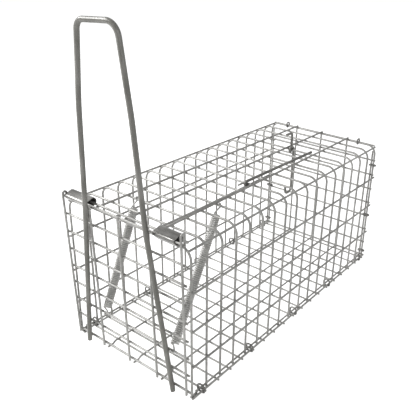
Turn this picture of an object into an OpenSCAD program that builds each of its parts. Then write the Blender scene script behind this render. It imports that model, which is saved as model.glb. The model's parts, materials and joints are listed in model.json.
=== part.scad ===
// Cage trap for rats, made of welded wire. Sizes are in millimetres.
// X runs to the right, Y to the rear and Z up. The trap stands on Z = 0.

/* [Cage] */
// Width of the hoops over their leg centres
cage_w = 156; // [130:1:200]
// Height of the hoops' top wires above the floor
cage_h = 157.9; // [130:0.1:200]
// Number of hoops along the cage
hoop_count = 18; // [12:1:24]
// Distance from one hoop to the next
hoop_pitch = 20.26; // [16:0.01:26]
// Bend radius of the hoops' top corners
hoop_bend = 11; // [8:0.5:20]
// Diameter of all the mesh wires
mesh_d = 2; // [1.6:0.1:2.4]
// Distance between the wires along the roof
roof_pitch = 38; // [30:0.5:40]
// Drop from the roof wires to the first side wire
side_first = 43.5; // [38:0.5:48]
// Distance between the side wires
side_pitch = 38.8; // [34:0.1:40]
// Length of wire that stands out past a crossing
nub = 1.1; // [0.8:0.1:2]
// Gap left where two welded wires cross
weld_gap = 0.02; // [0.02:0.01:0.05]

/* [Floor and back panels] */
// First cross wire of the floor behind the front hoop
floor_first = 15.9; // [14:0.1:18]
// Number of cross wires in the floor
floor_count = 18; // [12:1:22]
// Distance from the floor's edge wire to the front hoop
floor_edge = 3; // [2.6:0.1:4]
// Number of cross wires in the back panel
back_count = 9; // [6:1:10]
// Length of the upturned ends of the front hoop
foot_h = 7; // [5:0.5:12]

/* [Rings] */
// Diameter of the ring wire
ring_d = 1.9; // [1.2:0.1:1.9]
// Height of the rings along the bottom edges and over the back
ring_h = 10; // [7:0.1:11]
// Bend radius of the rings' free corners
ring_bend = 3.5; // [2:0.1:3.5]
// Clearance between a ring and the wires in it
ring_clear = 0.05; // [0.02:0.01:0.1]

/* [Hinge] */
// Diameter of the rod that carries the hinge clips
hinge_rod_d = 2.4; // [2:0.1:3]
// Distance of that rod behind the front hoop
hinge_rod_y = 2; // [1.5:0.1:4]
// Distance of the door's hinge wire in front of the front hoop
hinge_y = 6; // [5.5:0.1:9]
// Height of the door's hinge wire above the roof wires
hinge_up = 4; // [3.5:0.1:5]
// Sheet thickness of the hinge clips
clip_t = 0.8; // [0.6:0.1:1]
// Outer radius of the clip's roll round the rod
clip_roll = 3.3; // [3:0.1:3.6]
// Length of the right hinge clip
right_clip_l = 24.5; // [20:0.5:31]
// Height of the hoop's top wire that the clip's skirt hides
clip_skirt = 0.9; // [0:0.1:1.2]
// Distance from the door's inner uprights to the clips
clip_gap = 5; // [4.8:0.1:6.5]
// Running clearance of the hinge wire in the clips
hinge_clear = 0.3; // [0.2:0.05:0.5]

/* [Door] */
// Distance between the door's uprights
door_pitch = 37.5; // [34:0.5:38]
// Distance between the door's cross wires
door_step = 19.26; // [16:0.02:19.5]
// Number of the door's cross wires, the hinge wire included
door_count = 9; // [6:1:9]
// Height of the outer uprights' loops above the hinge wire
loop_rise = 9.5; // [6:0.1:10]
// Length by which the cross wires lap over the front hoop's legs
door_lap = 0.6; // [0.4:0.1:1]
// Clearance between the shut door and the front hoop
door_clear = 0.1; // [0.1:0.05:0.5]

/* [Lever] */
// Diameter of the lever's bar
lever_d = 4.8; // [4:0.1:5]
// Half width of the lever at its lower ends
lever_foot = 59.2; // [56:0.1:62]
// Half width of the lever at the hinge
lever_waist = 38.5; // [38:0.1:39]
// Half width of the lever at its upper bends
lever_neck = 31.3; // [26:0.1:33]
// Half width of the lever at its top corners
lever_top = 22.5; // [18:0.1:25]
// Height of the lever's top bar above the hinge, at its right end
lever_h = 167; // [150:0.5:180]
// Fall of the lever's top bar from its right end to its left end
lever_fall = 2.8; // [0:0.1:5]
// Height of the upper bends above the hinge
lever_neck_h = 96; // [80:1:110]
// Length of the lever below the hinge
lever_drop = 160; // [156:0.5:160]
// Bend radius of the top left corner
lever_bend = 9; // [7:0.5:14]
// Bend radius of the top right corner
lever_wide_bend = 12; // [7:0.5:14]

/* [Latch] */
// Diameter of the anchor wire
anchor_d = 2; // [1.6:0.1:2.2]
// Distance of the anchor's hook from the middle
anchor_x = 40.2; // [40:0.1:40.4]
// Length of the hook's straight end in front of the rod
anchor_end = 2; // [1:0.1:2.4]
// Distance from the hinge rod to the anchor's cross end
anchor_l = 131; // [130:0.5:133]
// Width of the anchor's cross end
anchor_w = 9.4; // [9:0.1:11]
// Diameter of the latch rod
latch_d = 3; // [2.6:0.1:3.2]
// Length of the latch rod behind its eye
latch_l = 126.5; // [122:0.5:127]
// Clearance of the latch's eye and hooks on what they hold
latch_clear = 0.3; // [0.2:0.05:0.4]
// Clearance between the resting latch and the roof wires
latch_rest = 0.12; // [0.1:0.02:0.3]

/* [Bait hook] */
// Diameter of the bait hook's wire
bait_d = 3; // [2.4:0.1:3.2]
// Number of the hoop that carries the bait hook
bait_hoop = 13; // [12:1:14]
// Height of the catch above the hoop
catch_h = 20; // [16:0.5:24]
// Length of the catch's nose
catch_l = 12; // [10:0.5:14]
// Length of the shank below the hoop
shank_l = 55; // [40:1:70]
// Bend radius of the spike
spike_bend = 5; // [4:0.5:8]

/* [Springs] */
// Outer diameter of the springs
spring_od = 8; // [6:0.1:9]
// Diameter of the spring wire
spring_d = 1.6; // [1.2:0.1:1.7]
// Curls in the right spring
right_curls = 45; // [20:1:48]
// Curls in the left spring
left_curls = 37; // [20:1:40]
// Number of the hoop that carries the right spring
right_hoop = 4; // [3:1:5]
// Number of the hoop that carries the left spring
left_hoop = 2; // [2:1:3]
// Distance of the right spring's upper hook from the middle
right_top_x = 41.4; // [41.2:0.1:44]
// Distance of the right spring's lower hook from the middle
right_low_x = 58; // [57.5:0.1:60]
// Distance of the left spring's upper hook from the middle
left_top_x = 28; // [20:0.5:30]
// Distance of the left spring's lower hook from the middle
left_low_x = 32; // [28:0.5:33]
// Number of the door's cross wire that the springs pull
spring_wire = 6; // [5:1:7]

/* [Hidden] */
$fn = 32;
STEEL = [0.72, 0.72, 0.70];
DULL = [0.52, 0.52, 0.50];
DARK = [0.36, 0.36, 0.35];

bead = 0.02;
mesh_r = mesh_d / 2;
lay = mesh_d + weld_gap;
leg_x = cage_w / 2;
roof_z = cage_h + lay;
side_x = leg_x + lay;
low_z = mesh_r + lay;
ring_r = mesh_r + ring_clear + ring_d / 2;
rod_r = hinge_rod_d / 2;
rod_z = roof_z + mesh_r + rod_r + weld_gap;
axis_z = roof_z + hinge_up;
anchor_r = anchor_d / 2;
latch_r = latch_d / 2;
bait_r = bait_d / 2;
lever_r = lever_d / 2;
spring_r = spring_d / 2;

// The door leans in until its lowest cross wire meets the front hoop's legs.
door_h = door_step * (door_count - 1);
door_shift = hinge_y - mesh_d - door_clear;
door_tilt = asin(door_shift / door_h);
// The lever passes in front of the uprights at the hinge.
lever_out = lay + mesh_r + lever_r + weld_gap;
lever_in = mesh_r + lever_r + weld_gap;
// The door's outer uprights stand inside the hoops' legs, and the left clip fills the
// space between the uprights.
door_outer = leg_x - 1.5 * mesh_d;
clip_x = door_pitch + clip_gap;
left_clip_l = door_outer - mesh_d - clip_x;

// The frame's middle lies halfway between the lever's top and the rearmost rings.
rear_reach = (hoop_count - 1) * hoop_pitch + lay + ring_r + ring_d / 2;
front_reach = hinge_y + lever_out * cos(door_tilt) + lever_h * sin(door_tilt) + lever_r;
front_y = -(rear_reach - front_reach) / 2;
function hoop_y(i) = front_y + i * hoop_pitch;
last_y = hoop_y(hoop_count - 1);
back_y = last_y + lay;
axis_y = front_y - hinge_y;
rod_y = front_y + hinge_rod_y;

// Places of the long wires along the roof, and of the side wires up the sides.
roof_x = [-roof_pitch, 0, roof_pitch];
corner_in = (hoop_bend + lay) * sin(45);
corner_x = leg_x - hoop_bend + corner_in;
corner_z = cage_h - hoop_bend + corner_in;
inner_x = side_x - mesh_r - weld_gap;
side_z = [for (i = [0:2]) roof_z - side_first - i * side_pitch];
floor_outer = leg_x - mesh_d - 5 * weld_gap;
floor_x = [-floor_outer, -roof_pitch, 0, roof_pitch, floor_outer];
floor_end = last_y - mesh_d - 20 * weld_gap;
floor_pitch = (floor_end - mesh_r - front_y - floor_first) / (floor_count - 1);
function floor_y(i) = front_y + floor_first + i * floor_pitch;
back_step = (cage_h - low_z) / (back_count - 1);
back_outer = leg_x - mesh_d - 50 * weld_gap;

function unit(v) = v / norm(v);
function mix3(p, q, t) = p + (q - p) * t;

// A straight round wire from p to q, whose facets line up with direction n.
module run(p, q, n, d) {
    u = unit(q - p);
    m = cross(u, n);
    multmatrix([
        [n.x, m.x, u.x, p.x],
        [n.y, m.y, u.y, p.y],
        [n.z, m.z, u.z, p.z],
        [0, 0, 0, 1]])
        cylinder(d = d, h = norm(q - p));
}

// A bend of radius r that leaves direction u at point p and ends in direction v.
module bend(p, u, v, r, n, d) {
    w = unit(cross(u, v));
    inward = cross(w, u);
    o = p + inward * r;
    multmatrix([
        [-inward.x, u.x, w.x, o.x],
        [-inward.y, u.y, w.y, o.y],
        [-inward.z, u.z, w.z, o.z],
        [0, 0, 0, 1]])
        rotate_extrude(angle = angle_of(u, v))
            translate([r, 0])
                rotate(atan2(n * w, -(n * inward)))
                    circle(d = d);
}

function angle_of(u, v) = acos(min(1, max(-1, u * v)));

// Direction n carried round the bend from direction u to direction v.
function carried(n, u, v) =
    let (w = unit(cross(u, v)))
    w * (n * w) + cross(w, v) * (n * cross(w, u));

// A direction square to u.
function square_to(u) = unit(cross(u, abs(u.x) < 0.9 ? [1, 0, 0] : [0, 1, 0]));

// A wire through points, with one bend radius for each inner point. A wire that runs
// at a slant has a slight collar at each end of a bend, which closes the joint there.
module bent_wire(points, radii, d, bead = 0) {
    n = len(points);
    dirs = [for (i = [0:n - 2]) unit(points[i + 1] - points[i])];
    trims = [for (i = [0:n - 3]) radii[i] * tan(angle_of(dirs[i], dirs[i + 1]) / 2)];
    sides = [for (i = 0, s = square_to(dirs[0]); i < n - 1;
        s = i < n - 2 ? carried(s, dirs[i], dirs[i + 1]) : s, i = i + 1) s];
    for (i = [0:n - 2]) {
        from = i == 0 ? points[0] : points[i] + dirs[i] * trims[i - 1];
        to = i == n - 2 ? points[n - 1] : points[i + 1] - dirs[i] * trims[i];
        long = norm(to - from) > 0.001;
        if (long)
            run(from, to, sides[i], d);
        if (i < n - 2)
            bend(to, dirs[i], dirs[i + 1], radii[i], sides[i], d);
        if (bead > 0 && i < n - 2)
            collar(to, dirs[i], sides[i], d, bead);
        if (bead > 0 && i > 0 && long)
            collar(from, dirs[i], sides[i], d, bead);
    }
}

module collar(p, u, n, d, bead) {
    half = 0.08 * d * u;
    run(p - half, p + half, n, d + 2 * bead);
}

// A straight round wire from p to q.
module straight(p, q, d) {
    run(p, q, square_to(unit(q - p)), d);
}

// The outline of one hoop, from the left leg's end to the right leg's end.
function hoop_path(foot_z) = [
    [-leg_x, 0, foot_z],
    [-leg_x, 0, cage_h],
    [leg_x, 0, cage_h],
    [leg_x, 0, foot_z]];

// The front hoop, whose feet turn back and up under the floor's edge wire.
module front_hoop() {
    r = floor_edge;
    right = [
        [leg_x, 0, cage_h],
        [leg_x, 0, 0],
        [leg_x, 2 * r, 0],
        [leg_x, 2 * r, foot_h]];
    left = [for (i = [3:-1:0]) [-right[i].x, right[i].y, right[i].z]];
    path = [for (p = concat(left, right)) p.z == 0 ? [p.x, p.y, mesh_r] : p];
    color(STEEL)
        translate([0, front_y, 0])
            bent_wire(path, [r, r, hoop_bend, hoop_bend, r, r], mesh_d);
}

// The hoops behind it end level with the underside of the lowest side wires.
module sleeve_hoops() {
    color(STEEL)
        for (i = [1:hoop_count - 1])
            translate([0, hoop_y(i), 0])
                bent_wire(hoop_path(low_z - mesh_r), [hoop_bend, hoop_bend], mesh_d);
}

// One wire along the cage, past the first and the last hoop by a nub.
module long_wire(x, z) {
    straight([x, front_y - mesh_r - nub / 2, z], [x, last_y + mesh_r + nub, z], mesh_d);
}

// Three wires lie on the hoops' tops, and two on the corner bends.
module roof_wires() {
    color(STEEL) {
        for (x = roof_x)
            long_wire(x, roof_z);
        for (s = [-1, 1])
            long_wire(s * corner_x, corner_z);
    }
}

// Four wires run along one side, outside the legs.
module side_wires(x) {
    for (z = side_z)
        long_wire(x, z);
    long_wire(x, low_z);
}

module left_side_wires() {
    color(STEEL)
        side_wires(-side_x);
}

module right_side_wires() {
    color(STEEL)
        side_wires(side_x);
}

// The floor's cross wires lie lowest, and the whole trap stands on them.
module floor_cross_wires() {
    reach = side_x + mesh_r + nub / 3;
    color(STEEL)
        for (i = [0:floor_count - 1])
            straight([-reach, floor_y(i), mesh_r], [reach, floor_y(i), mesh_r], mesh_d);
}

// The floor's long wires dip at the front, to pass below the edge wire.
module floor_long_wires() {
    dip_end = front_y + floor_edge + 1.75 * mesh_d;
    dip_start = dip_end + 2 * mesh_d;
    color(STEEL)
        for (x = floor_x)
            bent_wire([
                [x, floor_end, low_z],
                [x, dip_start, low_z],
                [x, dip_end, mesh_r],
                [x, front_y + nub / 2, mesh_r]], [5, 5], mesh_d, bead);
}

// The edge wire rests in the front hoop's feet, between the lowest side wires.
module floor_edge_wire() {
    y = front_y + floor_edge;
    color(STEEL)
        straight([-inner_x, y, low_z], [inner_x, y, low_z], mesh_d);
}

// The back panel's uprights stand inside the last hoop, up to its top wire or its bends.
module back_uprights() {
    bend_in = hoop_bend - mesh_r - weld_gap;
    bend_x = back_outer + mesh_r - (leg_x - hoop_bend);
    outer_top = cage_h - hoop_bend + sqrt(pow(bend_in, 2) - pow(bend_x, 2));
    inner_top = cage_h - mesh_r - weld_gap;
    color(STEEL) {
        for (x = [-back_outer, back_outer])
            straight([x, last_y, low_z - mesh_r], [x, last_y, outer_top], mesh_d);
        for (x = [-roof_pitch, 0, roof_pitch])
            straight([x, last_y, low_z - mesh_r], [x, last_y, inner_top], mesh_d);
    }
}

// Its cross wires lie behind the last hoop, and the top one between the corner wires.
module back_cross_wires() {
    top_x = corner_x - mesh_r - weld_gap;
    color(STEEL)
        for (i = [0:back_count - 1]) {
            z = low_z + i * back_step;
            reach = i == back_count - 1 ? top_x : inner_x;
            straight([-reach, back_y, z], [reach, back_y, z], mesh_d);
        }
}

// A ring round two parallel wires that lie a distance apart along X. It holds them at its
// bottom, rises above them and has its two ends at its top.
module closed_ring(apart, height) {
    gap = ring_d / 4;
    end = apart / 2 + ring_r;
    top = height - ring_d - ring_r;
    turn = min(ring_bend, end - gap - weld_gap, top);
    bent_wire([
        [gap, 0, top],
        [end, 0, top],
        [end, 0, -ring_r],
        [-end, 0, -ring_r],
        [-end, 0, top],
        [-gap, 0, top]], [turn, ring_r, ring_r, turn], ring_d);
}

// Rings along one bottom edge bind the floor's outer wire to the lowest side wire. Their
// places are counted in hoops from the front, and miss the wires that cross there.
module edge_rings(side, places) {
    for (y = places)
        translate([side * (side_x + floor_outer) / 2, front_y + y * hoop_pitch, low_z])
            closed_ring(side_x - floor_outer, ring_h);
}

module left_rings() {
    color(DULL)
        edge_rings(-1, [0.8925, 4.75, 9.12, 12.71, 16.39]);
}

module right_rings() {
    color(DULL)
        edge_rings(1, [0.627, 4.373, 8.514, 12.315, 16.39]);
}

// Rings at the back bind the panel to the last hoop, over its top and down its legs.
// Those on the legs lie flat and are placed between the back panel's cross wires.
module back_rings() {
    flat = 2 * (ring_r + ring_d / 2);
    reach = ring_h - flat;
    color(DULL) {
        for (x = [-1.4 * roof_pitch, 1.4 * roof_pitch])
            translate([x, (last_y + back_y) / 2, cage_h])
                rotate([0, 0, 90])
                    closed_ring(lay, ring_h - ring_d);
        for (s = [-1, 1], i = [0.36, 3.12, 6.71])
            translate([s * (back_outer + reach / 2), last_y, low_z + i * back_step])
                rotate([90, 0, 0])
                    closed_ring(reach, flat);
    }
}

// A plain rod across the front of the roof carries the hinge clips.
module hinge_rod() {
    reach = clip_x + left_clip_l + nub / 4;
    color(STEEL)
        straight([-reach, rod_y, rod_z], [reach, rod_y, rod_z], hinge_rod_d);
}

// A rolled clip: its large roll lies on the rod, its small roll holds the hinge wire, and
// its skirt hangs down before the front hoop's top wire.
module hinge_clip(long) {
    roll_bore = clip_roll - clip_t;
    roll_z = rod_z + roll_bore - rod_r - weld_gap;
    pin_bore = mesh_r + hinge_clear;
    reach = norm([axis_y - rod_y, axis_z - roll_z]);
    slope = atan2(axis_z - roll_z, axis_y - rod_y);
    skirt_y = front_y - mesh_r - clip_t;
    skirt_z = cage_h - clip_skirt;
    skirt = [skirt_y - axis_y, skirt_z - axis_z];
    rotate([90, 0, 90])
        linear_extrude(long)
            difference() {
                union() {
                    translate([rod_y, roll_z])
                        circle(r = clip_roll);
                    translate([axis_y, axis_z])
                        circle(r = pin_bore + clip_t);
                    translate([rod_y, roll_z])
                        rotate(slope)
                            translate([0, -clip_t])
                                square([reach, 2 * clip_t]);
                    translate([axis_y, axis_z])
                        rotate(atan2(skirt.y, skirt.x))
                            translate([0, -clip_t / 2])
                                square([norm(skirt), clip_t]);
                }
                translate([rod_y, roll_z])
                    circle(r = roll_bore);
                translate([axis_y, axis_z])
                    circle(r = pin_bore);
            }
}

module left_hinge_clip() {
    color(DULL)
        translate([-clip_x - left_clip_l, 0, 0])
            hinge_clip(left_clip_l);
}

module right_hinge_clip() {
    color(DULL)
        translate([clip_x, 0, 0])
            hinge_clip(right_clip_l);
}

// The door's own frame: its origin is on the hinge axis and Z runs up the door.
module on_door() {
    translate([0, axis_y, axis_z])
        rotate([door_tilt, 0, 0])
            children();
}

door_reach = leg_x - mesh_r + door_lap;

module door_hinge_wire() {
    color(STEEL)
        on_door()
            straight([-door_reach, 0, 0], [door_reach, 0, 0], mesh_d);
}

// The uprights lie in front, and the outer two are looped back over the hinge wire.
module door_uprights() {
    foot = -door_h - 1.5 * mesh_d;
    color(STEEL)
        on_door() {
            for (x = [-door_pitch, 0, door_pitch])
                straight([x, -lay, foot], [x, -lay, mesh_r + nub / 2], mesh_d);
            for (x = [-door_outer, door_outer])
                bent_wire([
                    [x, -lay, foot],
                    [x, -lay, loop_rise],
                    [x, lay, loop_rise],
                    [x, lay, 0]], [lay, lay], mesh_d);
        }
}

module door_cross_wires() {
    color(STEEL)
        on_door()
            for (i = [1:door_count - 1])
                straight([-door_reach, 0, -i * door_step],
                    [door_reach, 0, -i * door_step], mesh_d);
}

// One bar bent to a tall loop, welded to the door below the hinge.
module lever() {
    fair = 200;
    slope = (lever_out - lever_in) / lever_drop;
    half = [
        [lever_foot, -lever_in, -lever_drop],
        [lever_waist, -lever_out, 0],
        [lever_neck, -lever_out, lever_neck_h],
        [lever_top, -lever_out, lever_h]];
    other = [for (i = [3:-1:0])
        [-half[i].x, half[i].y, half[i].z - (i == 3 ? lever_fall : 0)]];
    color(STEEL)
        on_door()
            bent_wire(concat(half, other),
                [fair, fair, lever_wide_bend, lever_bend, fair, fair], lever_d, bead);
}

// The anchor hooks over the hinge rod and lies back along the roof.
hook_r = rod_r + latch_clear + anchor_r;
anchor_low = roof_z + mesh_r + latch_rest + anchor_r;
anchor_drop = rod_z + hook_r - anchor_low;
anchor_tilt = atan(anchor_drop / anchor_l);
eye_x = anchor_x - anchor_w / 2 - latch_clear - anchor_r / 2;

module latch_anchor() {
    color(DULL)
        translate([anchor_x, rod_y, rod_z])
            rotate([-anchor_tilt, 0, 0])
                bent_wire([
                    [0, -hook_r, -anchor_end],
                    [0, -hook_r, hook_r],
                    [0, anchor_l, hook_r],
                    [-anchor_w, anchor_l, hook_r],
                    [-anchor_w, anchor_l - anchor_w, hook_r]], [hook_r, 3, 3], anchor_d);
}

// The latch rod's eye rides on the anchor's cross end, and its tail rests on the roof.
eye_r = anchor_r + latch_clear + latch_r;
eye_y = rod_y + hook_r * sin(anchor_tilt) + anchor_l * cos(anchor_tilt);
eye_z = rod_z + hook_r * cos(anchor_tilt) - anchor_l * sin(anchor_tilt);
latch_low = roof_z + mesh_r + latch_rest + latch_r;
latch_tilt = asin((eye_z + eye_r - latch_low) / latch_l);
eye_turn = 270 - asin((latch_d + weld_gap) / eye_r - 1);

module latch_rod() {
    color(DARK)
        translate([eye_x, eye_y, eye_z])
            rotate([-latch_tilt, 0, 0]) {
                rotate([90, 0, 90])
                    rotate([0, 0, 90])
                        rotate_extrude(angle = eye_turn)
                            translate([eye_r, 0])
                                circle(d = latch_d);
                straight([0, 0, eye_r], [0, latch_l, eye_r], latch_d);
            }
}

// The bait hook takes one turn round a hoop, with its catch above and its spike below.
turn_pitch = bait_d + latch_clear;
turn_r = mesh_r + latch_clear + bait_r + 0.1 * bait_d;
turn_lean = asin(turn_pitch / 4 / turn_r);
catch_x = mesh_r + latch_clear + bait_r;
bait_y = hoop_y(bait_hoop);

module bait_hook() {
    back = turn_r * cos(turn_lean);
    shank_x = catch_x + turn_pitch;
    front_x = catch_x + turn_pitch / 2;
    spike_y = back - 2 * spike_bend - bait_d;
    color(STEEL)
        translate([0, bait_y, cage_h])
            bent_wire([
                [shank_x, spike_y, -shank_l + 3 * bait_d],
                [shank_x, spike_y, -shank_l],
                [shank_x, back, -shank_l],
                [shank_x, back, turn_r],
                [front_x, -back, turn_r],
                [front_x, -back, -turn_r],
                [catch_x, back, -turn_r],
                [catch_x, back, catch_h],
                [catch_x, back - catch_l, catch_h]],
                [spike_bend, spike_bend, turn_r, turn_r, turn_r, turn_r, 3], bait_d, bead);
}

// The springs are round tubes that follow a helix between two hooks.
spring_lead = 4;
RINGS = 8;
SIDES = 6;
hook_in = mesh_r + 0.2 + spring_r;
hook_step = 40;

// Points of one spring from its lower hook at a to its upper hook at b.
function spring_path(a, b, curls) =
    let (
        w = unit(b - a),
        side = unit(cross([1, 0, 0], w)),
        fwd = cross(side, w),
        length = norm(b - a),
        r = spring_od / 2 - spring_r,
        low = 2 * hook_in + spring_d,
        body = length - 2 * low - spring_lead,
        count = curls * RINGS,
        lower = [for (i = [0:5]) let (t = 250 - i * hook_step)
            a - w * hook_in * cos(t + 180) + side * hook_in * sin(t + 180)],
        coil = [for (i = [0:count]) let (t = i * 360 / RINGS)
            a + w * (low + body * i / count) + fwd * (r * sin(t)) + side * (r * cos(t))],
        upper = [for (i = [0:5]) let (t = 50 + i * hook_step)
            b + w * hook_in * cos(t + 180) + side * hook_in * sin(t + 180)])
    concat(lower, coil, upper);

// A tube of triangles along points, its rings turned as little as may be.
module tube(path, d) {
    n = len(path);
    tangents = [for (i = [0:n - 1])
        unit(path[min(i + 1, n - 1)] - path[max(i - 1, 0)])];
    first = unit(cross(tangents[0], [1, 0.2, 0.1]));
    normals = [for (i = 0, v = first; i < n;
        i = i + 1, v = i < n ? unit(v - tangents[i] * (v * tangents[i])) : v) v];
    rings = [for (i = [0:n - 1], k = [0:SIDES - 1])
        let (a = k * 360 / SIDES, t = tangents[i], m = unit(normals[i] - t * (normals[i] * t)))
        path[i] + (m * cos(a) + cross(t, m) * sin(a)) * d / 2];
    walls = [for (i = [0:n - 2], k = [0:SIDES - 1], h = [0, 1])
        let (p = i * SIDES + k, q = i * SIDES + (k + 1) % SIDES)
        h == 0 ? [p, p + SIDES, q] : [q, p + SIDES, q + SIDES]];
    caps = [for (k = [1:SIDES - 2], h = [0, 1])
        let (z = (n - 1) * SIDES)
        h == 0 ? [0, k, k + 1] : [z, z + k + 1, z + k]];
    polyhedron(rings, concat(walls, caps));
}

function door_point(x, i) =
    let (z = -i * door_step)
    [x, axis_y - z * sin(door_tilt), axis_z + z * cos(door_tilt)];

left_path = spring_path(door_point(-left_low_x, spring_wire),
    [-left_top_x, hoop_y(left_hoop), cage_h], left_curls);
right_path = spring_path(door_point(right_low_x, spring_wire),
    [right_top_x, hoop_y(right_hoop), cage_h], right_curls);

// The least gap between rings of the tube that lie half a curl or more apart.
function self_gap(path) = min([for (i = [0:len(path) - 1], j = [i + 4:1:min(i + 20, len(path) - 1)])
    norm(path[i] - path[j])]) - spring_d;

echo(left_spring_gap = self_gap(left_path), right_spring_gap = self_gap(right_path));

module left_spring() {
    color(DULL)
        tube(left_path, spring_d);
}

module right_spring() {
    color(DULL)
        tube(right_path, spring_d);
}

front_hoop();
sleeve_hoops();
roof_wires();
left_side_wires();
right_side_wires();
floor_cross_wires();
floor_long_wires();
floor_edge_wire();
back_uprights();
back_cross_wires();
left_rings();
right_rings();
back_rings();
hinge_rod();
left_hinge_clip();
right_hinge_clip();
door_hinge_wire();
door_uprights();
door_cross_wires();
lever();
latch_anchor();
latch_rod();
bait_hook();
left_spring();
right_spring();
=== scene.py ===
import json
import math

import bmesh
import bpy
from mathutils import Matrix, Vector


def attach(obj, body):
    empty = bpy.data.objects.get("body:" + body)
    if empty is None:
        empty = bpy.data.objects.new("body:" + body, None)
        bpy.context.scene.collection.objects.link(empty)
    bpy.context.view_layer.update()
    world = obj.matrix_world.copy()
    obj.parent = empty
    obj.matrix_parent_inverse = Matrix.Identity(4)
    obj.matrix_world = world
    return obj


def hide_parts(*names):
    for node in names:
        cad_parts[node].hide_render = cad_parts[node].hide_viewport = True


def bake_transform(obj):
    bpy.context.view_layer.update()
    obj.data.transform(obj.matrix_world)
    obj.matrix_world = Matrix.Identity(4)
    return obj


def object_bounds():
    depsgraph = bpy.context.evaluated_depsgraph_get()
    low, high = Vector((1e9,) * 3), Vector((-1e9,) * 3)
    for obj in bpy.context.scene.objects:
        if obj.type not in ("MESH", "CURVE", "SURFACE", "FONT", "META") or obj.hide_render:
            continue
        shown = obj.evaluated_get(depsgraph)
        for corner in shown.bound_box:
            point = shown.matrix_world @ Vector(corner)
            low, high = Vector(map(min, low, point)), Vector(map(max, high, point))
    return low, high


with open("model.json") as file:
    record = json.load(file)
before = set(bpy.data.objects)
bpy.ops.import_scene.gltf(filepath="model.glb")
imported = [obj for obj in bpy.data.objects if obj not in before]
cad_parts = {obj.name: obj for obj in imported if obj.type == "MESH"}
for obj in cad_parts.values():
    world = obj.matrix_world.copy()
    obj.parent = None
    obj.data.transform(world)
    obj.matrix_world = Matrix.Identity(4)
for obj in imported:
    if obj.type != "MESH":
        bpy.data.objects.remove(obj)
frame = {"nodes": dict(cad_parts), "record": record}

# %% [markdown]
# # A cage trap for rats, in galvanised wire
#
# The trap is a cage of thin welded wire with a sprung door at its front. A tall loop of
# bar is welded to the door, and it works as the lever that opens it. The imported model
# already holds every wire in its true place. This file gives the wires their zinc, makes
# the springs, the hinge clips and the door's uprights in full, adds the small fillets of
# zinc where two wires cross, and sets up the floor, the light and the camera.


def plain(box):
    """Turns two corners into plain lists of numbers."""
    return [[round(float(v), 6) for v in corner] for corner in box]


cad_box = plain(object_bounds())
print("packed model from", cad_box[0], "to", cad_box[1])

# %% [markdown]
# ## Sizes
#
# All lengths are in millimetres, as on a drawing, and one small function turns them into
# metres. The origin is on the ground in the middle of the trap. X runs to the right, Y to
# the back and Z up. Every place below is the middle of a wire. The cage comes first: its
# hoops stand in a row from the front to the back, and the long wires lie on them.

# %% Sizes of the cage
MM = 0.001
WIRE_R = 1.0                    # radius of the bare wire
LAY = 2.02                      # from the middle of one wire to the wire that lies on it
FRONT, PITCH, HOOPS = -165.6624, 20.26, 18
LEG, TOP, BEND = 78.0, 157.9, 11.0
ROOF, SIDE, LOW = TOP + LAY, LEG + LAY, WIRE_R + LAY
SIDE_DROP, SIDE_STEP = 43.5, 38.8
BACK_STEP, BACK_WIRES = 19.36, 9
HOOP_Y = [FRONT + i * PITCH for i in range(HOOPS)]
BACK = HOOP_Y[-1]
ROOF_X = [-38.0, 0.0, 38.0]
SIDE_Z = [ROOF - SIDE_DROP - i * SIDE_STEP for i in range(3)] + [LOW]
FLOOR_X = [-75.9, -38.0, 0.0, 38.0, 75.9]
FLOOR_FIRST, FLOOR_LAST, FLOOR_WIRES = FRONT + 15.9, BACK - 3.4, 18
FLOOR_STEP = (FLOOR_LAST - FLOOR_FIRST) / (FLOOR_WIRES - 1)
FLOOR_Y = [FLOOR_FIRST + i * FLOOR_STEP for i in range(FLOOR_WIRES)]
FLOOR_EDGE = FRONT + 3.0        # the wire that edges the floor at the mouth
BACK_X = [-75.0, -38.0, 0.0, 38.0, 75.0]
BACK_Z = [LOW + i * BACK_STEP for i in range(BACK_WIRES)]


def metres(*p):
    """A point given in millimetres, as a vector in metres."""
    return Vector(p) * MM


print("hoops from y", round(HOOP_Y[0], 1), "to", round(BACK, 1), "mm; roof wires at", ROOF, "mm")

# %% [markdown]
# The door hangs from a wire in front of the roof and leans in by a degree and a half. Places
# on it are worked out in the door's own frame, which has its origin on the hinge wire, and
# are then turned about that wire. The hinge rod, which holds the clips, belongs to the cage.

# %% Sizes of the door
AXIS_Y, AXIS_Z = FRONT - 6.0, ROOF + 4.0
ROD_Y, ROD_Z = FRONT + 2.0, ROOF + 2.22
DOOR_X = [-75.0, -37.5, 0.0, 37.5, 75.0]
DOOR_STEP, DOOR_WIRES = 19.26, 8
LEAN = 3.9                      # how far the lowest cross wire stands in from the hinge wire
TILT = math.asin(LEAN / (DOOR_WIRES * DOOR_STEP))


def on_door(x, y, z):
    """A point of the door's own frame, in millimetres of the whole trap."""
    return (x, AXIS_Y + y * math.cos(TILT) - z * math.sin(TILT),
            AXIS_Z + y * math.sin(TILT) + z * math.cos(TILT))


print("the door leans in by", round(math.degrees(TILT), 2), "degrees")

# %% [markdown]
# ## The camera
#
# The photograph was taken from the front and the right, a little above the roof. The
# camera's place, its turn and its lens come from matching the crossings of the mesh, and
# they are written as three directions: to the right, down and forward in the picture.


# %% Camera
def put(thing):
    """Puts an object into the scene."""
    bpy.context.scene.collection.objects.link(thing)
    return thing


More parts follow.
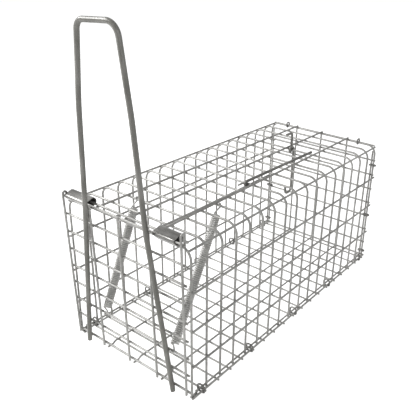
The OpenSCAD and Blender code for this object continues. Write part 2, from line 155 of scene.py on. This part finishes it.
RIGHT = Vector((0.79602698, 0.60444736, 0.03137573))
DOWN = Vector((0.27598015, -0.31633949, -0.90761461))
FORWARD = Vector((-0.53867987, 0.7311448, -0.41863024))
VIEWPOINT = metres(346.954, -463.417, 383.902)
camera_data = bpy.data.cameras.new("photo_view")
camera_data.sensor_width = 36.0
camera_data.lens = 49.237
camera_data.shift_x = -0.0833
camera_data.shift_y = -0.0073
camera_data.clip_start = 0.01
camera = put(bpy.data.objects.new("photo_view", camera_data))
turn = Matrix((RIGHT, -DOWN, -FORWARD)).transposed().to_4x4()
camera.matrix_world = Matrix.Translation(VIEWPOINT) @ turn
bpy.context.scene.camera = camera
print("camera at", [round(v, 3) for v in camera.location], "lens", camera_data.lens, "mm")

# %% [markdown]
# ## Small helpers for node trees
#
# Materials and Geometry Nodes are both trees of nodes. These helpers add a node, set its
# sockets and join it, so that each tree below reads from top to bottom. Some nodes keep
# hidden sockets for other kinds of data, so a socket is looked up among those in use.


# %% Helpers for node trees
def add(tree, kind, settings=None, **sockets):
    """Adds a node, sets its properties, and sets or joins its inputs by name."""
    node = tree.nodes.new(kind)
    for key, value in (settings or {}).items():
        setattr(node, key, value)
    for key, value in sockets.items():
        name = key.replace("_", " ")
        socket = next(s for s in node.inputs if s.name.lower() == name.lower() and s.enabled)
        if isinstance(value, bpy.types.NodeSocket):
            tree.links.new(value, socket)
        else:
            socket.default_value = value
    return node


def result(node):
    """The first output of a node that is in use."""
    return next(s for s in node.outputs if s.enabled)


def ramp(tree, factor, *stops):
    """A colour ramp over a factor, from pairs of a place and a grey or a colour."""
    node = add(tree, "ShaderNodeValToRGB", Fac=factor)
    bar = node.color_ramp.elements
    while len(bar) < len(stops):
        bar.new(0.5)
    for element, (place, colour) in zip(bar, stops):
        if isinstance(colour, (int, float)):
            colour = (colour, colour, colour)
        element.position = place
        element.color = (*colour, 1.0)
    return node.outputs["Color"]


def empty_material(name):
    """A new material and its tree, with no nodes in it yet."""
    material = bpy.data.materials.new(name)
    material.use_nodes = True
    material.node_tree.nodes.clear()
    return material, material.node_tree


# %% [markdown]
# ## Zinc on wire
#
# Hot-dipped wire isn't one grey. The zinc is brighter where it ran thick and duller where
# it has begun to weather, with fine specks and a slightly uneven skin. A picture of zinc
# could be wrapped round the wires, but it would need a map of every wire. Three noises in
# object coordinates need none: a broad one for weathering, a middle one for the runs of
# zinc, and a fine one for the skin. The same builder makes every finish on this trap, and
# each finish has its own greys, gloss and scale.


# %% A builder for zinc and drawn-steel finishes
def metal(name, dark, mid, light, rough=(0.36, 0.52), metallic=0.35, broad=22.0, runs=260.0,
          grain=1500.0, stretch=(1.0, 1.0, 1.0), bump=0.07):
    """A metal whose colour and gloss wander over the surface."""
    material, tree = empty_material(name)
    place = add(tree, "ShaderNodeTexCoord").outputs["Object"]
    along = add(tree, "ShaderNodeMapping", Vector=place, Scale=stretch).outputs["Vector"]
    broad_noise = add(tree, "ShaderNodeTexNoise", Vector=place, Scale=broad, Detail=3.0)
    run_noise = add(tree, "ShaderNodeTexNoise", Vector=along, Scale=runs, Detail=4.0,
                    Roughness=0.6)
    fine_noise = add(tree, "ShaderNodeTexNoise", Vector=along, Scale=grain, Detail=2.0)
    both = add(tree, "ShaderNodeMix", {"data_type": "FLOAT"}, Factor=0.45,
               A=broad_noise.outputs["Fac"], B=run_noise.outputs["Fac"])
    colour = ramp(tree, result(both), (0.34, dark), (0.5, mid), (0.64, light))
    specks = ramp(tree, fine_noise.outputs["Fac"], (0.36, 0.88), (0.52, 1.0))
    tint = add(tree, "ShaderNodeMix", {"data_type": "RGBA", "blend_type": "MULTIPLY"},
               Factor=1.0, A=colour, B=specks)
    gloss = add(tree, "ShaderNodeMapRange", Value=run_noise.outputs["Fac"], From_Min=0.3,
                From_Max=0.7, To_Min=rough[1], To_Max=rough[0])
    skin = add(tree, "ShaderNodeBump", Height=fine_noise.outputs["Fac"], Strength=bump,
               Distance=0.0002)
    shader = add(tree, "ShaderNodeBsdfPrincipled", Base_Color=result(tint),
                 Metallic=metallic, Roughness=gloss.outputs["Result"],
                 Normal=skin.outputs["Normal"])
    add(tree, "ShaderNodeOutputMaterial", Surface=shader.outputs["BSDF"])
    return material


# %% [markdown]
# Nine finishes cover the trap. The mesh and the door are the same dipped wire, the lever
# is a smoother drawn bar with long faint streaks, the hinge clips are plated sheet, the
# springs are bright drawn wire made lighter still as painted light, and the latch rod is
# darker than the rest as painted shade.

# %% The finishes
FINISHES = {
    "mesh_wire": metal("zinc_mesh", (0.28, 0.277, 0.265), (0.40, 0.396, 0.38),
                       (0.53, 0.525, 0.505)),
    "door_wire": metal("zinc_door", (0.29, 0.287, 0.275), (0.41, 0.406, 0.39),
                       (0.54, 0.535, 0.515)),
    "ring_wire": metal("ring_zinc", (0.13, 0.129, 0.122), (0.22, 0.217, 0.207),
                       (0.34, 0.336, 0.32), rough=(0.3, 0.5)),
    "clip_sheet": metal("clip_plate", (0.10, 0.098, 0.094), (0.20, 0.197, 0.188),
                        (0.38, 0.375, 0.36), rough=(0.18, 0.36), metallic=0.7,
                        runs=420.0, stretch=(0.15, 1.0, 1.0)),
    "lever_bar": metal("lever_drawn", (0.155, 0.152, 0.134), (0.25, 0.246, 0.222),
                       (0.37, 0.365, 0.34), rough=(0.2, 0.32), metallic=0.1, runs=330.0,
                       stretch=(1.0, 1.0, 0.12), bump=0.05),
    "latch_wire": metal("anchor_zinc", (0.24, 0.237, 0.225), (0.36, 0.356, 0.34),
                        (0.50, 0.495, 0.475), stretch=(1.0, 0.2, 1.0)),
    # The latch rod's dark greys are painted shade: it is the same wire as the anchor above,
    # which keeps lighter greys.
    "latch_bar": metal("latch_painted_shade", (0.09, 0.088, 0.082), (0.17, 0.166, 0.155),
                       (0.30, 0.295, 0.275), stretch=(1.0, 0.2, 1.0)),
    "bait_wire": metal("bait_zinc", (0.17, 0.168, 0.158), (0.27, 0.266, 0.25),
                       (0.40, 0.395, 0.375)),
    # The springs' greys are lighter than the mesh's, partly for their bright drawn wire and
    # partly as painted light on their front.
    "spring_wire": metal("spring_drawn_painted_light", (0.44, 0.436, 0.42), (0.58, 0.575, 0.556),
                         (0.72, 0.713, 0.69), rough=(0.25, 0.42), runs=500.0, bump=0.08),
}
for node in frame["record"]["subparts"]:
    piece = frame["nodes"][node["node"]]
    for slot in piece.material_slots:
        slot.material = FINISHES[node["material_slot"]]
print(len(FINISHES), "finishes on", len(frame["nodes"]), "packed pieces")

# %% [markdown]
# ## Two Geometry Nodes trees
#
# Wire that follows a path, and beads of zinc scattered on marked points, are made by
# Geometry Nodes. The first tree sweeps a round section along a curve. The second puts a
# small squashed ball on every point, turns it to lie against the wires and varies its size
# a little. Both end by making real geometry and setting the material.


# %% Helpers that build and run a Geometry Nodes tree
def new_tree(name, sizes):
    """An empty tree with geometry going in and out, and one named input for each size."""
    tree = bpy.data.node_groups.new(name, "GeometryNodeTree")
    tree.interface.new_socket("Geometry", in_out="INPUT", socket_type="NodeSocketGeometry")
    tree.interface.new_socket("Geometry", in_out="OUTPUT", socket_type="NodeSocketGeometry")
    for key, kind in sizes.items():
        tree.interface.new_socket(key, in_out="INPUT", socket_type="NodeSocket" + kind)
    return tree, tree.nodes.new("NodeGroupInput"), tree.nodes.new("NodeGroupOutput")


def close_tree(tree, geometry, source, sink):
    """Ends a tree with real geometry in the chosen material."""
    real = add(tree, "GeometryNodeRealizeInstances", Geometry=geometry)
    done = add(tree, "GeometryNodeSetMaterial", Geometry=real.outputs["Geometry"],
               Material=source.outputs["Material"])
    tree.links.new(done.outputs["Geometry"], sink.inputs["Geometry"])
    print(tree.name, "has", len(tree.nodes), "nodes")


def shaded(mesh):
    """Shades a mesh smoothly over all its faces."""
    mesh.polygons.foreach_set("use_smooth", [True] * len(mesh.polygons))


def grown(name, seed_object, tree, values):
    """Runs a tree on an object and returns its result as a plain mesh piece."""
    put(seed_object)
    run = seed_object.modifiers.new("grow", "NODES")
    run.node_group = tree
    for socket in tree.interface.items_tree:
        if socket.item_type == "SOCKET" and socket.in_out == "INPUT" and socket.name in values:
            run[socket.identifier] = values[socket.name]
    graph = bpy.context.evaluated_depsgraph_get()
    mesh = bpy.data.meshes.new_from_object(seed_object.evaluated_get(graph), depsgraph=graph)
    seed_object.modifiers.remove(run)
    bpy.data.objects.remove(seed_object)
    shaded(mesh)
    print(name, "has", len(mesh.polygons), "faces")
    return put(bpy.data.objects.new(name, mesh))


# %% The tree that sweeps wire along a path
wire_tree, wire_in, wire_out = new_tree("wire_on_path", {
    "Wire Radius": "Float", "Sides": "Int", "Material": "Material"})
section = add(wire_tree, "GeometryNodeCurvePrimitiveCircle", {"mode": "RADIUS"},
              Resolution=wire_in.outputs["Sides"], Radius=wire_in.outputs["Wire Radius"])
swept = add(wire_tree, "GeometryNodeCurveToMesh", Curve=wire_in.outputs["Geometry"],
            Profile_Curve=section.outputs["Curve"], Fill_Caps=True)
close_tree(wire_tree, swept.outputs["Mesh"], wire_in, wire_out)


# %% Wire along lists of points
def wire_piece(name, path_name, lines, radius, sides, slot):
    """Sweeps wire of one radius along lists of points, all in millimetres."""
    curve = bpy.data.curves.new(path_name, "CURVE")
    curve.dimensions = "3D"
    for points in lines:
        line = curve.splines.new("POLY")
        line.points.add(len(points) - 1)
        for place, p in zip(line.points, points):
            place.co = (*metres(*p), 1.0)
    return grown(name, bpy.data.objects.new(path_name, curve), wire_tree, {
        "Wire Radius": radius * MM, "Sides": sides, "Material": FINISHES[slot]})


# %% [markdown]
# ## The coat of zinc
#
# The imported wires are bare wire. The dip adds a thin coat all round, and it makes the mesh
# a little stouter than the wire that it was welded from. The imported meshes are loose
# triangles and stay as they are, so each coated wire is a new mesh: a copy of the packed
# one is merged, and its corners move outwards by the coat. Where the shut door rubs on the
# front hoop, the coat is worn off, so that the two sides that meet stay bare.

# %% The coated wires
COAT = 0.15
MERGE = 0.001                   # corners nearer than this are one
WORN_FACING = 0.3               # a corner that faces the other wire more than this is bare
SHARP = math.radians(50)        # edges that turn more than this stay sharp
COATED = [("sleeve_hoops", "cage", 0), ("roof_wires", "cage", 0),
          ("left_side_wires", "cage", 0), ("right_side_wires", "cage", 0),
          ("back_uprights", "cage", 0), ("back_cross_wires", "cage", 0),
          ("front_hoop", "cage", -1), ("door_cross_wires", "door", 1)]
COAT_SLOT = {"cage": "mesh_wire", "door": "door_wire"}


def coated(node, body, slot, worn):
    """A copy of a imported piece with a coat, but bare where it faces worn times Y."""
    work = bmesh.new()
    work.from_mesh(frame["nodes"][node].data)
    bmesh.ops.remove_doubles(work, verts=work.verts, dist=MERGE * MM)
    work.verts.index_update()
    work.normal_update()
    low, high = cad_box
    verts = []
    for corner in work.verts:
        coat = 0.0 if corner.normal.y * worn > WORN_FACING else COAT * MM
        moved = corner.co + corner.normal * coat
        verts.append([min(max(moved[i], low[i]), high[i]) for i in range(3)])
    faces = [[corner.index for corner in face.verts] for face in work.faces]
    work.free()
    mesh = bpy.data.meshes.new(node + "_coated")
    mesh.from_pydata(verts, [], faces)
    shaded(mesh)
    mesh.set_sharp_from_angle(angle=SHARP)
    mesh.materials.append(FINISHES[slot])
    piece = put(bpy.data.objects.new(node + "_coated", mesh))
    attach(piece, body)
    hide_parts(node)
    print(piece.name, "has", len(mesh.polygons), "faces")


for node, body, worn in COATED:
    coated(node, body, COAT_SLOT[body], worn)

# %% [markdown]
# ## The springs
#
# Each spring is one unbroken wire: a hook round the door's sixth cross wire, a long close
# coil, and a hook round a hoop of the roof. The rule of a helix gives the coil, and the
# two hooks are arcs that lead into it. When the door opens, the lower end goes with the
# door and the upper end stays with the cage, but this piece is made only at rest and
# belongs to neither.

# %% The parts of a spring's path
SPRING_D, SPRING_OD = 1.6, 8.6
SPRING_ROOM = 0.2               # from a spring's hook to the bare wire in it
HOOK = WIRE_R + SPRING_ROOM + SPRING_D / 2
NECK = 2 * HOOK + SPRING_D      # from a hooked wire to the coil
TOP_NECK = NECK + 4.0           # the upper neck is longer
HOOK_OUT, HOOK_IN = 250, 50     # degrees at which a hook ends and meets its neck
HOOK_PARTS = 16
EASE = 4.0                      # strength of the bend between a hook and the coil


def hook(centre, w, side, first, last):
    """Points of a hook round a centre, from angle to angle; w points on to the coil."""
    turns = [math.radians(first + (last - first) * k / HOOK_PARTS + 180)
             for k in range(HOOK_PARTS + 1)]
    return [centre - w * HOOK * math.cos(t) + side * HOOK * math.sin(t) for t in turns]


def eased(before, after, parts=6):
    """Points of a smooth link from the end of one run of points to the start of another."""
    p, q = before[-1], after[0]
    a = (before[-1] - before[-2]).normalized() * EASE
    b = (after[1] - after[0]).normalized() * EASE
    return [p * (2 * t ** 3 - 3 * t ** 2 + 1) + a * (t ** 3 - 2 * t ** 2 + t)
            + q * (3 * t ** 2 - 2 * t ** 3) + b * (t ** 3 - t ** 2)
            for t in (k / parts for k in range(1, parts))]


def spring_path(low, high, curls, steps=16):
    """Points along a spring, from its hook at low to its hook at high."""
    low, high = Vector(low), Vector(high)
    w = (high - low).normalized()
    side = Vector((1, 0, 0)).cross(w).normalized()
    fwd = side.cross(w)
    r = SPRING_OD / 2 - SPRING_D / 2
    body = (high - low).length - NECK - TOP_NECK
    count = curls * steps
    coil = [low + w * (NECK + body * i / count)
            + fwd * (r * math.sin(2 * math.pi * i / steps))
            + side * (r * math.cos(2 * math.pi * i / steps)) for i in range(count + 1)]
    start, end = hook(low, w, side, HOOK_OUT, HOOK_IN), hook(high, -w, side, HOOK_IN, HOOK_OUT)
    return start + eased(start, coil) + coil + eased(coil, end) + end


# %% The two springs
SPRING_ROW = -6 * DOOR_STEP     # height of the door's sixth cross wire


def spring(name, node, low, high, curls):
    """Sweeps a spring's wire between the cage and the door."""
    piece = wire_piece(name, name + "_path", [spring_path(low, high, curls)],
                       SPRING_D / 2, 10, "spring_wire")
    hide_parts(node)
    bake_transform(piece)


spring("left_spring_wire", "left_spring", low=on_door(-32.0, 0.0, SPRING_ROW),
       high=(-28.0, HOOP_Y[2], TOP), curls=56)
spring("right_spring_wire", "right_spring", low=on_door(58.0, 0.0, SPRING_ROW),
       high=(41.4, HOOP_Y[4], TOP), curls=66)

# %% [markdown]
# ## The hinge clips
#
# A hinge clip is one strip of plated sheet. It is rolled up round the fixed rod, runs
# forward over the door's wire and hangs down before the front hoop. The mesh is made from
# the line through the middle of the sheet: a straight skirt, an arc over the door's wire
# and a long arc for the roll. The line gets the sheet's thickness on both sides, and rows
# of it along X give the length, with a small rounding at each end.

# %% The line through the middle of the sheet
SHEET, ROLL_R, PIN_R = 0.8, 4.0, 1.7
ROLL = Vector((ROD_Y - 1.5, ROD_Z + 1.85))
PIN = Vector((AXIS_Y, AXIS_Z))
SKIRT = Vector((FRONT - 1.8, TOP - 0.9))
ROLL_END = math.radians(335)


def clip_line():
    """Points of the sheet in the YZ plane, from the skirt's edge to the roll's edge."""
    u = (PIN - ROLL).normalized()
    up = Vector((u.y, -u.x))
    hang = SKIRT - PIN
    low = math.atan2(hang.dot(up), hang.dot(u)) + math.acos(PIN_R / hang.length)
    high = math.pi / 2 - math.asin((ROLL_R - PIN_R) / (PIN - ROLL).length)
    line = [SKIRT]
    for centre, r, first, last, parts in ((PIN, PIN_R, low, high, 14),
                                          (ROLL, ROLL_R, high, ROLL_END, 30)):
        for k in range(parts + 1):
            t = first + (last - first) * k / parts
            line.append(centre + (u * math.cos(t) + up * math.sin(t)) * r)
    return line


# %% Rows of the line along a clip
ROUNDING = [(0.0, 0.55), (0.12, 0.85), (0.3, 1.0)]  # steps in from an end, with thickness
CLIP_ROWS = 8


def clip_rows(x_from, x_to):
    """Pairs of a place along X and a share of the sheet's thickness there."""
    inset = ROUNDING[-1][0]
    long = x_to - x_from - 2 * inset
    rows = [(x_from + step, share) for step, share in ROUNDING]
    rows += [(x_from + inset + long * k / CLIP_ROWS, 1.0) for k in range(1, CLIP_ROWS)]
    return rows + [(x_to - step, share) for step, share in reversed(ROUNDING)]


def clip_corners(rows, line):
    """Corners of a clip in metres: both faces of the sheet, row after row."""
    count = len(line)
    verts = []
    for x, share in rows:
        for sign in (1, -1):
            for i, p in enumerate(line):
                along = (line[min(i + 1, count - 1)] - line[max(i - 1, 0)]).normalized()
                q = p + Vector((along.y, -along.x)) * (sign * share * SHEET / 2)
                verts.append(metres(x, q.x, q.y))
    return verts


# %% The clips' meshes
def clip(name, node, x_from, x_to):
    """A rolled clip between two places along X, in millimetres."""
    line = clip_line()
    rows = clip_rows(x_from, x_to)
    count = len(line)

    def at(row, side, i):
        return (row * 2 + side) * count + i

    faces = []
    for row in range(len(rows) - 1):
        for side in (0, 1):
            for i in range(count - 1):
                faces.append((at(row, side, i), at(row, side, i + 1),
                              at(row + 1, side, i + 1), at(row + 1, side, i)))
        for i in (0, count - 1):
            faces.append((at(row, 0, i), at(row, 1, i), at(row + 1, 1, i), at(row + 1, 0, i)))
    for row in (0, len(rows) - 1):
        for i in range(count - 1):
            faces.append((at(row, 0, i), at(row, 1, i), at(row, 1, i + 1), at(row, 0, i + 1)))
    mesh = bpy.data.meshes.new(name)
    mesh.from_pydata(clip_corners(rows, line), [], faces)
    work = bmesh.new()
    work.from_mesh(mesh)
    bmesh.ops.recalc_face_normals(work, faces=work.faces)
    work.to_mesh(mesh)
    work.free()
    shaded(mesh)
    mesh.set_sharp_from_angle(angle=SHARP)
    mesh.materials.append(FINISHES["clip_sheet"])
    piece = put(bpy.data.objects.new(name, mesh))
    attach(piece, "cage")
    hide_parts(node)
    print(name, "has", len(mesh.polygons), "faces")


clip("left_clip_sheet", "left_hinge_clip", x_from=-73.0, x_to=-42.5)
clip("right_clip_sheet", "right_hinge_clip", x_from=42.5, x_to=67.0)

# %% [markdown]
# ## The door's uprights
#
# Five wires stand in front of the door's cross wires. The outer two are looped back over
# the hinge wire, low at the left and high at the right, as the photograph shows. Each
# loop is two quarter bends with a straight leg behind.

# %% The uprights
LOOP_RISE = (3.6, 0.0, 0.0, 0.0, 9.5)   # top of each upright's loop, or none
FOOT = -DOOR_WIRES * DOOR_STEP - 3.0    # the uprights end below the lowest cross wire
NUB = 1.55                              # and a plain one ends just above the hinge wire
LOOP_FOOT, LOOP_PARTS = -3.0, 24        # a looped one is straight up to here


def upright_path(x, rise):
    """Points of one upright in millimetres, with a loop of the given rise, or none."""
    if not rise:
        return [on_door(x, -LAY, FOOT), on_door(x, -LAY, NUB)]
    points = [on_door(x, -LAY, FOOT), on_door(x, -LAY, LOOP_FOOT)]
    for k in range(LOOP_PARTS + 1):
        t = math.pi * k / LOOP_PARTS
        points.append(on_door(x, -LAY * math.cos(t), rise - LAY + LAY * math.sin(t)))
    return points + [on_door(x, LAY, 0.0)]


upright_wires = wire_piece("upright_wires", "upright_paths",
                           [upright_path(x, rise) for x, rise in zip(DOOR_X, LOOP_RISE)],
                           WIRE_R + COAT, 16, "door_wire")
upright_wires.data.set_sharp_from_angle(angle=SHARP)
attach(upright_wires, "door")
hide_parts("door_uprights")

# %% [markdown]
# ## Fillets of zinc at the crossings
#
# Where two wires cross they are spot-welded, and the dip leaves a small fillet of zinc
# round the weld. There are hundreds, all alike but for their size, which makes them a good
# case for instances on points. Each crossing is marked by a point that also stores the
# direction from one wire to the other, so that the fillet can be turned to lie between them.

# %% The tree that puts a fillet on each marked crossing
fillet_tree, fillet_in, fillet_out = new_tree("zinc_fillets", {
    "Width": "Float", "Thickness": "Float", "Seed": "Int", "Material": "Material"})
ball = add(fillet_tree, "GeometryNodeMeshIcoSphere", Radius=1.0, Subdivisions=2)
facing = add(fillet_tree, "GeometryNodeInputNamedAttribute", {"data_type": "FLOAT_VECTOR"},
             Name="across")
turned = add(fillet_tree, "FunctionNodeAlignRotationToVector", {"axis": "Z"},
             Vector=facing.outputs["Attribute"])
shape = add(fillet_tree, "ShaderNodeCombineXYZ", X=fillet_in.outputs["Width"],
            Y=fillet_in.outputs["Width"], Z=fillet_in.outputs["Thickness"])
vary = add(fillet_tree, "FunctionNodeRandomValue", {"data_type": "FLOAT"}, Min=0.84, Max=1.1,
           Seed=fillet_in.outputs["Seed"])
sized = add(fillet_tree, "ShaderNodeVectorMath", {"operation": "SCALE"},
            Vector=shape.outputs["Vector"], Scale=result(vary))
placed = add(fillet_tree, "GeometryNodeInstanceOnPoints", Points=fillet_in.outputs["Geometry"],
             Instance=ball.outputs["Mesh"], Rotation=turned.outputs["Rotation"],
             Scale=sized.outputs["Vector"])
close_tree(fillet_tree, placed.outputs["Instances"], fillet_in, fillet_out)

# %% The crossings of the cage
HALF = LAY / 2                  # from the middle of a wire to the middle of a crossing
ON_FLOOR = WIRE_R + HALF
ON_BEND = math.sqrt(0.5) * (BEND + HALF)
cage_marks = []
for y in HOOP_Y:
    for x in ROOF_X:
        cage_marks.append(((x, y, TOP + HALF), (0, 0, 1)))
    for s in (-1, 1):
        cage_marks.append(((s * (LEG - BEND + ON_BEND), y, TOP - BEND + ON_BEND), (s, 0, 1)))
        for z in SIDE_Z:
            cage_marks.append(((s * (LEG + HALF), y, z), (1, 0, 0)))
for y in FLOOR_Y:
    for x in FLOOR_X + [-SIDE, SIDE]:
        cage_marks.append(((x, y, ON_FLOOR), (0, 0, 1)))
for z in BACK_Z[:-1]:
    for x in BACK_X + [-LEG, LEG]:
        cage_marks.append(((x, BACK + HALF, z), (0, 1, 0)))
for x in FLOOR_X:
    cage_marks.append(((x, FLOOR_EDGE, ON_FLOOR), (0, 0, 1)))
for x in ROOF_X:
    cage_marks.append(((x, ROD_Y, ROOF + HALF), (0, 0, 1)))
print(len(cage_marks), "crossings on the cage")

# %% [markdown]
# The door's crossings lie in its own frame. The legs of the lever spread as they go down,
# and each is welded to the three lowest cross wires and to the inner upright at its side.

# %% The crossings of the door, and the welds of the lever
LEVER_X, LEVER_SPREAD = 38.5, 20.7      # a leg's place at the hinge, and how far it moves out
LEVER_Y, LEVER_IN = -5.44, 2.02         # the same towards the cage
LEVER_FALL, LEVER_R = 160.0, 2.4        # over this height, in bar of this radius
GRIP_X, GRIP_Y = 38.1, -3.03            # where a leg lies against an inner upright,
GRIP_Z = (-1.5, -9.0)                   # and the heights of its two welds there
lean = Vector((0, math.cos(TILT), math.sin(TILT)))
door_marks = []
for i in range(DOOR_WIRES + 1):
    for x in (DOOR_X if i else DOOR_X[1:4]):
        door_marks.append((on_door(x, -HALF, -i * DOOR_STEP), lean))
lever_marks = []
for s in (-1, 1):
    for i in range(DOOR_WIRES - 2, DOOR_WIRES + 1):
        share = i * DOOR_STEP / LEVER_FALL
        x = LEVER_X + LEVER_SPREAD * share
        y = LEVER_Y + LEVER_IN * share
        lever_marks.append((on_door(s * x, (y + LEVER_R - WIRE_R) / 2, -i * DOOR_STEP), lean))
    for z in GRIP_Z:
        lever_marks.append((on_door(s * GRIP_X, GRIP_Y, z), lean))
print(len(door_marks), "crossings and", len(lever_marks), "lever welds on the door")


# %% The fillets
def fillets(name, body, marks, width, thickness, seed, slot):
    """Grows one piece of fillets on the marked points, for one moving body."""
    mesh = bpy.data.meshes.new(name + "_marks")
    mesh.from_pydata([metres(*p) for p, _ in marks], [], [])
    across = mesh.attributes.new("across", "FLOAT_VECTOR", "POINT")
    across.data.foreach_set("vector", [c for _, d in marks for c in Vector(d).normalized()])
    piece = grown(name, bpy.data.objects.new(name + "_marks", mesh), fillet_tree, {
        "Width": width * MM, "Thickness": thickness * MM, "Seed": seed,
        "Material": FINISHES[slot]})
    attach(piece, body)


fillets("cage_fillets", "cage", cage_marks, 1.2, 0.85, seed=3, slot="mesh_wire")
fillets("door_fillets", "door", door_marks, 1.2, 0.85, seed=5, slot="door_wire")
fillets("lever_welds", "door", lever_marks, 1.9, 1.0, seed=8, slot="lever_bar")

# %% [markdown]
# ## Floor, light and background
#
# The photograph has a plain white background. The floor is pale and takes the trap's soft
# shadow, and what the camera and the reflections see of the world is white. More light
# would also make a white background, but it would wash out the wires. So the floor and the
# world tell the rays apart: those from the camera, off metal and through glass see white,
# and the rest see a plain floor and a faint sky.


# %% Rays that see the background
def seen(tree):
    """One for a ray from the camera, off a glossy surface or through a clear one."""
    path = add(tree, "ShaderNodeLightPath")
    total = path.outputs["Is Camera Ray"]
    for ray in ("Is Glossy Ray", "Is Transmission Ray"):
        larger = add(tree, "ShaderNodeMath", {"operation": "MAXIMUM"})
        tree.links.new(total, larger.inputs[0])
        tree.links.new(path.outputs[ray], larger.inputs[1])
        total = larger.outputs[0]
    return total


def joined(tree, kind, first, second, **sockets):
    """Mixes or adds two shaders, and returns the node that does it."""
    node = add(tree, kind, **sockets)
    slots = [s for s in node.inputs if s.type == "SHADER"]
    tree.links.new(first.outputs[0], slots[0])
    tree.links.new(second.outputs[0], slots[1])
    return node


WHITE = (1.0, 1.0, 1.0, 1.0)

# %% Floor
FLOOR_HALF, FLOOR_DROP = 6000.0, 0.05
corners = [(-1, -1), (1, -1), (1, 1), (-1, 1)]
floor_mesh = bpy.data.meshes.new("floor")
floor_mesh.from_pydata([metres(x * FLOOR_HALF, y * FLOOR_HALF, -FLOOR_DROP) for x, y in corners],
                       [], [(0, 1, 2, 3)])
floor = put(bpy.data.objects.new("floor", floor_mesh))
pale, tree = empty_material("pale_floor")
matte = add(tree, "ShaderNodeBsdfDiffuse", Color=(0.86, 0.86, 0.86, 1.0))
glow = add(tree, "ShaderNodeEmission", Color=WHITE, Strength=0.9)
lit = joined(tree, "ShaderNodeAddShader", matte, glow)
either = joined(tree, "ShaderNodeMixShader", matte, lit, Fac=seen(tree))
add(tree, "ShaderNodeOutputMaterial", Surface=either.outputs[0])
floor_mesh.materials.append(pale)
print("floor is", 2 * FLOOR_HALF * MM, "m square,", FLOOR_DROP, "mm under the wires")

# %% World
world = bpy.data.worlds.new("white_surround")
bpy.context.scene.world = world
world.use_nodes = True
tree = world.node_tree
tree.nodes.clear()
white = add(tree, "ShaderNodeBackground", Color=WHITE, Strength=1.0)
soft = add(tree, "ShaderNodeBackground", Color=WHITE, Strength=0.12)
either = joined(tree, "ShaderNodeMixShader", soft, white, Fac=seen(tree))
add(tree, "ShaderNodeOutputWorld", Surface=either.outputs[0])
print("world is white to the camera and to reflections")

# %% [markdown]
# The lamps stay plain: one large soft lamp above and to the left, which gives each wire a
# lighter and a darker side, and a weaker one from the right.


# %% Lamps
def soft_lamp(name, place, aim, size, power):
    """A square area lamp at one point, aimed at another, in metres and watts."""
    data = bpy.data.lights.new(name, "AREA")
    data.shape = "SQUARE"
    data.size = size
    data.energy = power
    lamp = put(bpy.data.objects.new(name, data))
    look = (Vector(aim) - Vector(place)).to_track_quat("-Z", "Y")
    lamp.matrix_world = Matrix.Translation(place) @ look.to_matrix().to_4x4()
    print(name, "at", place, "with", power, "W")


AIM = (0.0, 0.0, 0.1)
soft_lamp("key_lamp", (-1.3, -0.75, 1.15), AIM, size=1.0, power=32.0)
soft_lamp("fill_lamp", (1.5, -0.9, 0.9), AIM, size=1.2, power=5.0)
bpy.context.scene.view_settings.view_transform = "Standard"
